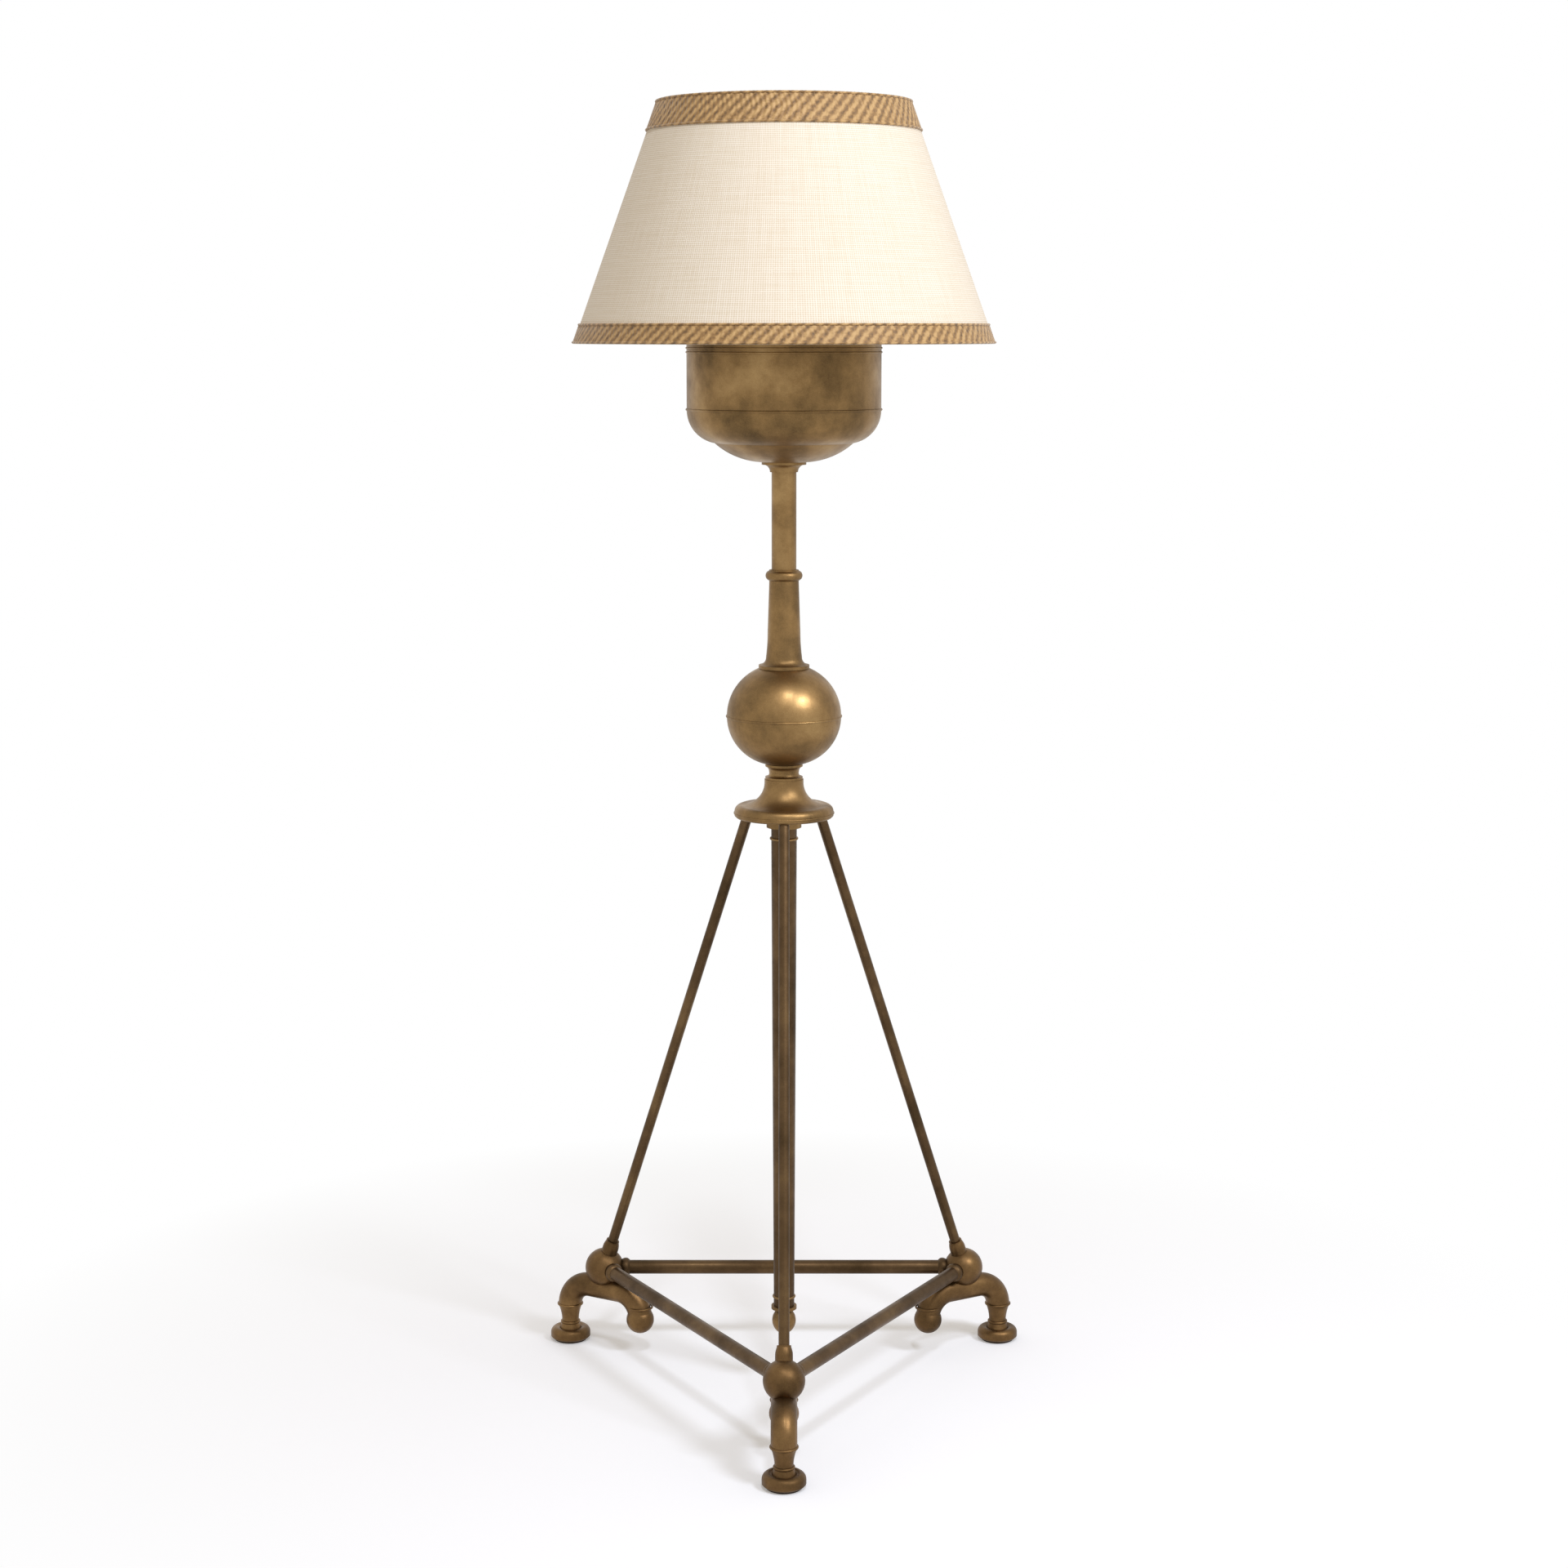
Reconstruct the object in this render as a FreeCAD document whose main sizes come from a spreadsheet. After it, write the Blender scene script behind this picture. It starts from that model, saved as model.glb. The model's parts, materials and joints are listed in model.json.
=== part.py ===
import FreeCAD, Part
import math
import os
import re

import Sketcher

# Candlestick floor lamp, millimetres, +Z up. The origin is on the floor, on the lamp's
# vertical axis, and the front foot points along -Y. Every size below is a cell of the sheet,
# and every solid is bound to those cells.

SIZES = {
    # base: three arched feet, each with a ball on its crown, joined by three tie bars
    "cornerReach": 272.0,       # lamp axis to the centre of a corner ball
    "frameHeight": 108.0,       # floor to the axes of the tie bars
    "cornerBallRadius": 25.0,
    "ballFlat": 22.5,           # ball centre to the flat spot that a bar or a rod seats on
    "archHalfSpan": 55.0,       # corner ball axis to each limb of the arched foot
    "archHeight": 80.0,         # floor to the centre of the arch's round bar, at its crown
    "archBend": 32.0,
    "archBarRadius": 15.5,
    "ankleRadius": 11.0,
    "ankleHeight": 28.0,
    "padRadius": 26.0,
    "padThickness": 10.0,
    "padEdge": 2.0,             # slope round the pad's lower edge
    "ankleSweep": 3.0,          # curve from the pad into the ankle
    "innerTipRadius": 18.0,
    "innerTipHeight": 46.0,     # floor to the centre of the inner limb's ball tip
    "glideRadius": 21.0,
    "glideThickness": 3.0,
    "glideScrewRadius": 2.0,
    "glideScrewHeadRadius": 4.0,
    "glideScrewLength": 14.0,
    "glideScrewRecess": 1.0,
    "barRadius": 9.0,
    "barBeadRadius": 12.0,
    "barBeadLength": 11.0,
    "barTenonRadius": 6.0,
    "barTenonLength": 7.0,
    "barShoulder": 1.0,         # step on each side of a tie bar's bead
    # three straight struts from the corner balls up to the hub
    "strutRadius": 6.5,
    "strutReach": 47.0,         # lamp axis to a strut's axis, at the height of its top end
    "strutTenonLength": 9.0,
    "strutEdge": 1.0,
    "ferruleFootRadius": 10.5,
    "ferruleTopRadius": 8.5,
    "ferruleLength": 18.0,
    "ferruleLip": 2.0,
    "fitGap": 0.05,             # radial room round a tenon, a rod or the lamp pipe
    "overrun": 1.0,             # how far a bore runs past the face that it opens in
    # centre column, from its drop finial up to the hub
    "columnFoot": 104.0,        # floor to the lower end of the column
    "columnFootRadius": 13.0,
    "columnTopRadius": 16.0,
    "columnWall": 1.6,
    "dropLength": 34.0,
    "dropBallRadius": 15.0,
    "dropTipRadius": 8.5,
    "dropSpigot": 8.0,
    "dropCollarReach": 3.0,     # column's foot radius to the rim of the drop's collar
    "dropCollarLength": 4.0,
    "dropNeckLength": 3.0,
    "bushingRadius": 6.5,
    "bushingBore": 3.4,
    "bushingLip": 2.0,
    "bushingWall": 1.0,         # how far the lip stands out past the bushing's sleeve
    "bushingDepth": 7.0,
    "pipeRadius": 4.8,
    "pipeBore": 3.4,
    "pipeStickOut": 5.0,        # lamp pipe above the foot of the lampholder's cap
    # hub that gathers the struts
    "hubHeight": 718.0,         # floor to the bottom of the hub's sleeve
    "hubSleeveRadius": 21.5,
    "hubSleeveLength": 13.0,
    "hubRadius": 61.0,
    "hubLip": 7.0,
    "hubEdge": 2.0,
    "hubLength": 60.0,
    "hubNeckRadius": 24.0,
    "hubCrownStep": 4.0,
    "hubSocketDepth": 24.0,     # how far the column's top end goes into the hub
    "setScrewRadius": 2.0,
    "setScrewLength": 5.0,
    # turned candlestick pieces above the hub
    "spoolLength": 19.0,
    "spoolRadius": 23.0,
    "spoolWaist": 18.5,
    "spoolEdge": 3.0,
    "knopLength": 118.0,
    "knopRadius": 70.0,
    "knopFootRadius": 21.0,
    "knopCrownRadius": 30.0,
    "knopWall": 2.0,
    "trumpetLength": 120.0,
    "trumpetFootRadius": 31.0,
    "trumpetFootEdge": 4.0,
    "trumpetNeckRadius": 20.0,
    "trumpetFlare": 44.0,       # height at which the flare has narrowed to the neck
    "trumpetCove": 9.0,
    "trumpetCoveStep": 2.0,
    "trumpetTopRadius": 18.0,
    "beadRadius": 22.5,
    "beadLength": 12.0,
    "beadCove": 2.0,
    "beadEdge": 1.0,
    "stemRadius": 15.0,
    "stemWall": 1.5,
    "stemLength": 118.0,
    "cupFootRadius": 17.0,
    "cupRimRadius": 27.0,
    "cupLength": 12.0,
    "cupRimHeight": 3.0,
    # font bowl under the shade, and its lid
    "bowlFootRadius": 24.0,
    "bowlShoulderRadius": 84.0,
    "bowlShoulderHeight": 23.0,
    "bowlRadius": 117.0,
    "bowlTurnHeight": 62.0,     # bowl's foot to where its side stands upright
    "bowlHeight": 148.0,
    "bowlWall": 1.6,
    "bowlRimRadius": 119.5,
    "bowlRimHeight": 6.0,
    "lidRise": 14.0,
    "lidWall": 1.6,
    "lidSpigot": 5.0,
    "lidCrownRadius": 20.0,
    "collarRadius": 18.0,
    "collarLength": 10.0,
    "collarEdge": 2.0,
    "collarSlope": 5.0,         # how much narrower the collar is at its top
    # saddle, nut and lampholder
    "saddleHalfLength": 30.0,
    "saddleWidth": 12.0,
    "saddleThickness": 1.6,
    "saddlePostRadius": 2.4,
    "saddlePostLength": 16.0,
    "saddleNutRadius": 9.0,
    "saddleNutThickness": 4.0,
    "holderRadius": 17.0,
    "holderWall": 0.8,
    "holderCapLength": 20.0,
    "holderShellLength": 42.0,
    "holderBead": 2.0,          # band of the shell that stands flush on the cap
    "holderBeadEdge": 1.0,
    "linerWall": 0.6,
    "holderCoreLength": 13.0,
    "screwShellRadius": 14.0,
    "screwShellLength": 24.0,
    "screwShellFlange": 2.0,
    "screwShellStep": 1.0,
    "contactRadius": 3.0,
    "contactThickness": 1.2,
    "keyStemRadius": 2.0,
    "keyRise": 9.0,             # top of the lampholder's cap to the key's axis
    "keyReach": 30.0,           # lamp axis to the outer face of the key's knob
    "keyKnobRadius": 7.0,
    "keyKnobLength": 9.0,
    "keyInside": 9.0,           # lamp axis to the inner end of the key's stem
    "keyEdge": 2.0,             # slope behind the key's knob
    "keyRound": 1.0,
    # lamp bulb
    "bulbBaseRadius": 13.0,
    "bulbBaseLength": 25.0,
    "bulbCapTaper": 3.0,
    "bulbCapEdge": 1.0,
    "bulbNeckLength": 6.0,
    "bulbNeckRadius": 14.0,
    "bulbRadius": 30.0,
    "bulbGlassLength": 84.0,
    "bulbGlassWall": 0.9,
    # harp and finial
    "harpWireRadius": 1.8,
    "harpLegReach": 26.0,
    "harpSeat": 4.0,            # saddle's strip up to the wire's end inside its post
    "harpLegLength": 20.0,
    "harpHalfWidth": 58.0,
    "harpWaistHeight": 130.0,   # foot of the harp to its widest place
    "harpLength": 220.0,
    "harpFlatReach": 9.0,
    "harpFerruleRadius": 4.2,
    "harpFerruleLength": 18.0,
    "studRadius": 3.1,
    "studLength": 15.0,
    "studPlateRadius": 8.0,
    "studPlateThickness": 2.0,
    "finialLength": 20.5,
    "finialFootRadius": 6.5,
    "finialNeckRadius": 5.0,
    "finialBallRadius": 8.0,
    "finialGap": 0.1,
    "finialSkirt": 2.0,
    "finialNeckEdge": 1.0,
    # empire shade
    "shadeTopRadius": 149.5,
    "shadeBottomRadius": 252.0,
    "shadeHeight": 284.0,
    "shadeSkin": 1.0,
    "shadeAboveWasher": 23.5,   # spider washer up to the top edge of the shade
    "bottomTrimHeight": 24.0,
    "topTrimHeight": 36.0,
    "trimThickness": 0.9,
    "ringWireRadius": 1.8,
    "ringInset": 1.0,
    "spiderWireRadius": 1.5,
    "washerRadius": 14.0,
    "washerThickness": 1.6,
    "finialRoom": 0.4,          # radial room round the finial's foot, between the arms
    "washerFit": 0.08,          # radial room of the washer's hole on the harp's stud
}

# Sizes worked out from the sheet's cells.
DERIVED = {
    "ballFlatRadius": "sqrt(cornerBallRadius^2 - ballFlat^2)",
    "limbTop": "archHeight - archBend",
    "padTop": "glideThickness + padThickness",
    "strutRun": "strutTopHeight - frameHeight",
    "strutTopHeight": "hubHeight + hubSocketDepth",
    "strutLean": "atan((cornerReach - strutReach) / strutRun)",
    "strutLength": "sqrt((cornerReach - strutReach)^2 + strutRun^2)",
    "barLength": "cornerReach * sqrt(3) - 2 * ballFlat",
    "columnTop": "hubHeight + hubSocketDepth",
    "dropFoot": "columnFoot - dropLength",
    "pipeFoot": "dropFoot + bushingDepth",
    "pipeHole": "pipeRadius + fitGap",
    "hubTop": "hubHeight + hubLength",
    "knopFoot": "hubTop + spoolLength",
    "knopTop": "knopFoot + knopLength",
    "stemFoot": "knopTop + trumpetLength",
    "stemTop": "stemFoot + stemLength",
    "bowlFoot": "stemTop + cupLength",
    "bowlTop": "bowlFoot + bowlHeight",
    "lidTop": "bowlTop + lidRise",
    "saddleFoot": "lidTop + collarLength",
    "nutFoot": "saddleFoot + saddleThickness",
    "holderFoot": "nutFoot + saddleNutThickness",
    "holderSeam": "holderFoot + holderCapLength",
    "coreTop": "holderSeam + holderCoreLength",
    "pipeTop": "holderFoot + pipeStickOut",
    "keyHeight": "holderSeam + keyRise - holderWall",
    "bulbFoot": "coreTop + contactThickness",
    "glassFoot": "bulbFoot + bulbBaseLength",
    "harpFoot": "saddleFoot + saddleThickness + harpSeat",
    "harpTop": "harpFoot + harpLength",
    "washerFoot": "harpTop + harpWireRadius + studPlateThickness + finialGap",
    "finialFoot": "washerFoot + washerThickness + finialGap",
    "shadeTop": "washerFoot + shadeAboveWasher",
    "shadeFoot": "shadeTop - shadeHeight",
    "shadeSlope": "(shadeBottomRadius - shadeTopRadius) / shadeHeight",
    "ringReach": "shadeSkin + ringWireRadius * sqrt(1 + shadeSlope^2) + fitGap",
    "topRingRadius": "shadeTopRadius + ringEdge * shadeSlope - ringReach",
    "bottomRingRadius": "shadeBottomRadius - ringEdge * shadeSlope - ringReach",
    "ringEdge": "ringWireRadius + ringInset",
    "spiderRise": "shadeAboveWasher - ringEdge - washerThickness / 2",
    "spiderRun": "topRingRadius - washerRadius / 2",
}

FRONT, RIGHT, LEFT = -90, 30, 150           # compass of the three corners, in degrees
CORNERS = {"front": FRONT, "right": RIGHT, "left": LEFT}
BARS = {"back": 90, "left": 210, "right": -30}
ROUND = 360

doc = FreeCAD.newDocument("candlestick_floor_lamp")
sheet = doc.addObject("Spreadsheet::Sheet", "Sizes")
for line, (alias, size) in enumerate(SIZES.items(), start=1):
    sheet.set(f"A{line}", alias)
    sheet.set(f"B{line}", str(size))
    sheet.setAlias(f"B{line}", alias)
doc.recompute()

subParts = []                                # objects whose shapes are the lamp's pieces


def bound(text):
    """Turns the short names of sizes in an expression into the sheet's cells."""
    def cell(match):
        word = match.group(0)
        if word in SIZES:
            return "Sizes." + word
        if word in DERIVED:
            return "(" + bound(DERIVED[word]) + ")"
        return word
    return re.sub(r"[A-Za-z_]\w*", cell, str(text))


def size(text):
    """The present value of an expression, in millimetres or degrees."""
    value = sheet.evalExpression(bound(text))
    return float(getattr(value, "Value", value))


def place(thing, x="0", y="0", z="0", yaw="0", pitch="0", roll="0"):
    spot = f"vector({bound(x)}; {bound(y)}; {bound(z)})"
    turn = f"rotation({bound(yaw)}; {bound(pitch)}; {bound(roll)})"
    thing.setExpression("Placement", f"placement({spot}; {turn})")
    return thing


def keep(thing, label):
    thing.Label = label
    subParts.append(thing)
    return thing


def solid(kind, x="0", y="0", z="0", yaw="0", pitch="0", roll="0", **sizes):
    """A Part primitive whose sizes and place are bound to the sheet."""
    thing = doc.addObject("Part::" + kind, kind)
    for name, text in sizes.items():
        thing.setExpression(name, bound(text))
    return place(thing, x, y, z, yaw, pitch, roll)


def fuse(*things):
    result = doc.addObject("Part::MultiFuse", "Fuse")
    result.Shapes = list(things)
    result.Refine = True
    return result


def cut(base, *tools):
    result = doc.addObject("Part::Cut", "Cut")
    result.Base = base
    result.Tool = fuse(*tools) if len(tools) > 1 else tools[0]
    return result


def copies(thing, count):
    """The thing and its turned copies about the lamp's axis, as separate solids."""
    result = doc.addObject("Part::Compound", "Group")
    turned_copies = [thing]
    for step in range(1, count):
        other = doc.addObject("Part::Compound", "Copy")
        other.Links = [thing]
        place(other, yaw=str(step * ROUND / count))
        turned_copies.append(other)
    result.Links = turned_copies
    return result


def arc_bulge(bend, dx, dy):
    """Half-width over half-chord of an arc that is upright or level at one of its ends."""
    if bend is None:
        return 0.0
    end, lie = bend
    across, along = (dx, dy) if lie == "upright" else (dy, dx)
    side = math.copysign(1, dx * dy) * (1 if lie == "upright" else -1)
    side = side if end == "end" else -side
    return side * math.tan(math.atan2(abs(across), abs(along)) / 2)


def draw(sketch, points, closed):
    """Draws a profile of straight and round stretches, each corner bound to the sheet.

    A point is (x, y) or (x, y, (end, lie)): the stretch that leaves it is then an arc that
    is upright or level at its start or its end.
    """
    spots = [(size(p[0]), size(p[1])) for p in points]
    bends = [p[2] if len(p) > 2 else None for p in points]
    count = len(points) if closed else len(points) - 1
    starts = []
    for i in range(count):
        (x0, y0), (x1, y1) = spots[i], spots[(i + 1) % len(points)]
        a, b = FreeCAD.Vector(x0, y0, 0), FreeCAD.Vector(x1, y1, 0)
        bulge = arc_bulge(bends[i], x1 - x0, y1 - y0)
        if bulge:
            middle = (a + b) / 2 + FreeCAD.Vector(y1 - y0, x0 - x1, 0) * (bulge / 2)
            # a sketch's arcs all run anticlockwise
            arc = Part.Arc(a, middle, b) if bulge > 0 else Part.Arc(b, middle, a)
            edge = sketch.addGeometry(arc, False)
        else:
            edge = sketch.addGeometry(Part.LineSegment(a, b), False)
        begins = sketch.Geometry[edge].StartPoint.distanceToPoint(a) < 1e-4
        starts.append((edge, 1 if begins else 2, 2 if begins else 1))
    for i in range(count):
        edge, first, last = starts[i]
        if closed or i < count - 1:
            after, after_first, _ = starts[(i + 1) % count]
            sketch.addConstraint(Sketcher.Constraint("Coincident", edge, last, after, after_first))
        corners = [(first, points[i], spots[i])]
        if not closed and i == count - 1:
            corners.append((last, points[-1], spots[-1]))
        for end, texts, spot in corners:
            for axis, text, value in zip("XY", texts, spot):
                limit = Sketcher.Constraint("Distance" + axis, -1, 1, edge, end, value)
                number = sketch.addConstraint(limit)
                sketch.setExpression(f"Constraints[{number}]", bound(text))
        if bends[i]:
            (xa, ya), (xb, yb) = points[i][:2], points[(i + 1) % len(points)][:2]
            across = f"({xb}) - ({xa})"
            rise = f"({yb}) - ({ya})"
            short = across if bends[i][1] == "upright" else rise
            radius = f"(({across})^2 + ({rise})^2) / (2 * abs({short}))"
            limit = Sketcher.Constraint("Radius", edge, size(radius))
            number = sketch.addConstraint(limit)
            sketch.setExpression(f"Constraints[{number}]", bound(radius))


def flat_sketch(body, name, role, points, closed=True):
    sketch = body.newObject("Sketcher::SketchObject", name)
    plane = [f for f in body.Origin.OriginFeatures if f.Role == role][0]
    sketch.AttachmentSupport = [(plane, "")]
    sketch.MapMode = "FlatFace"
    draw(sketch, points, closed)
    return sketch


def turned(name, points, **where):
    """A piece turned on a lathe: its half section goes round its own upright axis."""
    body = doc.addObject("PartDesign::Body", name + "_body")
    place(body, **where)
    sketch = flat_sketch(body, name + "_profile", "XZ_Plane", points)
    doc.recompute()
    lathe = body.newObject("PartDesign::Revolution", name + "_turning")
    lathe.Profile = sketch
    lathe.ReferenceAxis = (sketch, ["V_Axis"])
    lathe.Angle = ROUND
    sketch.Visibility = False
    return body


def turned_piece(name, points, **where):
    return keep(turned(name, points, **where), name)


def bent_bar(name, points, radius, **where):
    """A round bar along a path in its own XZ plane, which starts straight up."""
    body = doc.addObject("PartDesign::Body", name + "_body")
    place(body, **where)
    path = flat_sketch(body, name + "_path", "XZ_Plane", points, closed=False)
    section = body.newObject("Sketcher::SketchObject", name + "_section")
    plane = [f for f in body.Origin.OriginFeatures if f.Role == "XY_Plane"][0]
    section.AttachmentSupport = [(plane, "")]
    section.MapMode = "FlatFace"
    section.setExpression("AttachmentOffset.Base.x", bound(points[0][0]))
    section.setExpression("AttachmentOffset.Base.z", bound(points[0][1]))
    ring = section.addGeometry(Part.Circle(FreeCAD.Vector(), FreeCAD.Vector(0, 0, 1), size(radius)))
    section.addConstraint(Sketcher.Constraint("Coincident", ring, 3, -1, 1))
    number = section.addConstraint(Sketcher.Constraint("Radius", ring, size(radius)))
    section.setExpression(f"Constraints[{number}]", bound(radius))
    doc.recompute()
    pipe = body.newObject("PartDesign::AdditivePipe", name + "_pipe")
    pipe.Profile = section
    pipe.Spine = (path, [f"Edge{i + 1}" for i in range(len(path.Geometry))])
    path.Visibility = False
    section.Visibility = False
    return body


UPRIGHT_START, UPRIGHT_END = ("start", "upright"), ("end", "upright")
LEVEL_START, LEVEL_END = ("start", "level"), ("end", "level")


# --- base ----------------------------------------------------------------------------------

def corner_spot(text, compass):
    """X and Y of a place that lies out from the lamp's axis at a corner's compass angle."""
    return f"({text}) * cos({compass})", f"({text}) * sin({compass})"


def make_foot(side, compass):
    """Arched foot: outer limb on the floor, inner limb ending in a ball, ball on its crown."""
    centre = corner_spot("cornerReach", compass)
    outer = corner_spot("cornerReach + archHalfSpan", compass)
    inner = corner_spot("cornerReach - archHalfSpan", compass)
    arch = bent_bar(
        f"arch_{side}",
        [
            ("archHalfSpan", "limbTop", UPRIGHT_START),
            ("archHalfSpan - archBend", "archHeight"),
            ("archBend - archHalfSpan", "archHeight", LEVEL_START),
            ("-archHalfSpan", "limbTop"),
        ],
        "archBarRadius",
        x=centre[0], y=centre[1], yaw=str(compass),
    )
    leg = turned(
        f"leg_{side}",
        [
            ("0", "glideThickness"),
            ("padRadius - padEdge", "glideThickness"),
            ("padRadius", "glideThickness + padEdge"),
            ("padRadius", "padTop - ankleSweep", UPRIGHT_START),
            ("ankleRadius + ankleSweep", "padTop + ankleSweep"),
            ("ankleRadius", "ankleHeight - ankleSweep", UPRIGHT_START),
            ("archBarRadius", "limbTop"),
            ("0", "limbTop"),
        ],
        x=outer[0], y=outer[1],
    )
    tip = solid("Sphere", x=inner[0], y=inner[1], z="innerTipHeight", Radius="innerTipRadius")
    ball = solid("Sphere", x=centre[0], y=centre[1], z="frameHeight", Radius="cornerBallRadius")
    foot = fuse(arch, leg, tip, ball)
    tools = []
    for turn in (150, 210):                   # the two tie bars lean 30 degrees off the inward line
        way = compass + turn
        for radius, start in (("ballFlatRadius + fitGap * 4", "ballFlat"),
                              ("barTenonRadius + fitGap", "ballFlat - barTenonLength - fitGap")):
            tools.append(solid(
                "Cylinder",
                x=f"{centre[0]} + ({start}) * cos({way})",
                y=f"{centre[1]} + ({start}) * sin({way})",
                z="frameHeight", yaw=str(way), pitch="90",
                Radius=radius, Height="cornerBallRadius",
            ))
    for radius, start in (("ballFlatRadius + fitGap * 4", "ballFlat"),
                          ("strutRadius + fitGap", "ballFlat - strutTenonLength - fitGap")):
        out = f"cornerReach - ({start}) * sin(strutLean)"
        spot = corner_spot(out, compass)
        tools.append(solid(
            "Cylinder", x=spot[0], y=spot[1], z=f"frameHeight + ({start}) * cos(strutLean)",
            yaw=str(compass), pitch="-strutLean", Radius=radius, Height="cornerBallRadius",
        ))
    tools.append(solid(
        "Cylinder", x=outer[0], y=outer[1], z="glideThickness - overrun",
        Radius="glideScrewRadius", Height="glideScrewLength",
    ))
    keep(cut(foot, *tools), f"foot_{side}")
    glide = solid("Cylinder", x=outer[0], y=outer[1], Radius="glideRadius", Height="glideThickness")
    hole = solid("Cylinder", x=outer[0], y=outer[1], z="-overrun",
                 Radius="glideScrewRadius", Height="glideThickness + 2 * overrun")
    recess = solid("Cylinder", x=outer[0], y=outer[1], z="-overrun", Radius="glideScrewHeadRadius",
                   Height="glideScrewRecess + overrun + glideThickness / 3")
    keep(cut(glide, hole, recess), f"glide_{side}")


def make_glide_screws():
    head = solid("Cylinder", y="-(cornerReach + archHalfSpan)", z="glideScrewRecess",
                 Radius="glideScrewHeadRadius", Height="glideThickness / 3")
    shank = solid("Cylinder", y="-(cornerReach + archHalfSpan)",
                  z="glideScrewRecess + glideThickness / 3",
                  Radius="glideScrewRadius", Height="glideScrewLength - glideThickness")
    keep(copies(fuse(head, shank), len(CORNERS)), "glide_screws")


def make_tie_bar(side, compass):
    """Round bar with a turned bead at each end, tenoned into two corner balls."""
    half = "barLength / 2"
    bead = f"{half} - barBeadLength"
    tip = f"{half} + barTenonLength"
    upper = [
        ("barRadius", bead),
        ("barRadius + barShoulder", f"{bead} + barShoulder", UPRIGHT_END),
        ("barBeadRadius", f"{bead} + barBeadLength / 2", UPRIGHT_START),
        ("barRadius + barShoulder", half),
        ("barTenonRadius", half),
        ("barTenonRadius", tip),
        ("0", tip),
    ]
    lower = [
        ("0", f"-({tip})"),
        ("barTenonRadius", f"-({tip})"),
        ("barTenonRadius", f"-({half})"),
        ("barRadius + barShoulder", f"-({half})", UPRIGHT_END),
        ("barBeadRadius", f"-({bead} + barBeadLength / 2)", UPRIGHT_START),
        ("barRadius + barShoulder", f"-({bead} + barShoulder)"),
        ("barRadius", f"-({bead})"),
    ]
    spot = corner_spot("cornerReach / 2", compass)
    turned_piece(f"tie_bar_{side}", lower + upper, x=spot[0], y=spot[1], z="frameHeight",
                 yaw=str(compass), roll="90")


# --- struts ---------------------------------------------------------------------------------

def make_strut(side, compass):
    start = "ballFlat - strutTenonLength"
    spot = corner_spot(f"cornerReach - ({start}) * sin(strutLean)", compass)
    lean = {"x": spot[0], "y": spot[1], "z": f"frameHeight + ({start}) * cos(strutLean)",
            "yaw": str(compass), "pitch": "-strutLean"}
    rod = f"strutLength - ({start})"
    turned_piece(
        f"strut_{side}",
        [
            ("0", "0"),
            ("strutRadius - strutEdge", "0"),
            ("strutRadius", "strutEdge"),
            ("strutRadius", f"{rod} - strutEdge"),
            ("strutRadius - strutEdge", rod),
            ("0", rod),
        ],
        **lean,
    )
    seat = "strutTenonLength"
    turned_piece(
        f"ferrule_{side}",
        [
            ("strutRadius + fitGap", seat),
            ("ferruleFootRadius", seat),
            ("ferruleFootRadius", f"{seat} + ferruleLength / 3", UPRIGHT_START),
            ("ferruleTopRadius", f"{seat} + ferruleLength - ferruleLip"),
            ("ferruleTopRadius", f"{seat} + ferruleLength"),
            ("strutRadius + fitGap", f"{seat} + ferruleLength"),
        ],
        **lean,
    )


# --- centre column --------------------------------------------------------------------------

def make_column():
    turned_piece(
        "centre_column",
        [
            ("columnFootRadius - columnWall", "columnFoot"),
            ("columnFootRadius", "columnFoot"),
            ("columnTopRadius", "columnTop"),
            ("columnTopRadius - columnWall", "columnTop"),
        ],
    )
    turned_piece(
        "column_drop",
        [
            ("pipeHole", "dropSpigot + dropLength"),
            ("pipeHole", "bushingDepth - bushingLip"),
            ("bushingRadius - bushingWall + fitGap", "bushingDepth - bushingLip"),
            ("bushingRadius - bushingWall + fitGap", "0"),
            ("dropTipRadius", "0", UPRIGHT_END),
            ("dropBallRadius", "dropLength * 0.42", UPRIGHT_START),
            ("columnFootRadius - dropCollarReach", "dropLength - dropCollarLength - dropNeckLength"),
            ("columnFootRadius + dropCollarReach", "dropLength - dropCollarLength"),
            ("columnFootRadius + dropCollarReach", "dropLength"),
            ("columnFootRadius - columnWall - fitGap", "dropLength"),
            ("columnFootRadius - columnWall - fitGap", "dropLength + dropSpigot"),
        ],
        z="dropFoot",
    )
    turned_piece(
        "cord_bushing",
        [
            ("bushingBore", "-bushingLip"),
            ("bushingRadius", "-bushingLip"),
            ("bushingRadius", "0"),
            ("bushingRadius - bushingWall", "0"),
            ("bushingRadius - bushingWall", "bushingDepth - bushingLip"),
            ("bushingBore", "bushingDepth - bushingLip"),
        ],
        z="dropFoot",
    )
    turned_piece(
        "lamp_pipe",
        [
            ("pipeBore", "pipeFoot"),
            ("pipeRadius", "pipeFoot"),
            ("pipeRadius", "pipeTop"),
            ("pipeBore", "pipeTop"),
        ],
    )


# --- hub ------------------------------------------------------------------------------------

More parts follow.
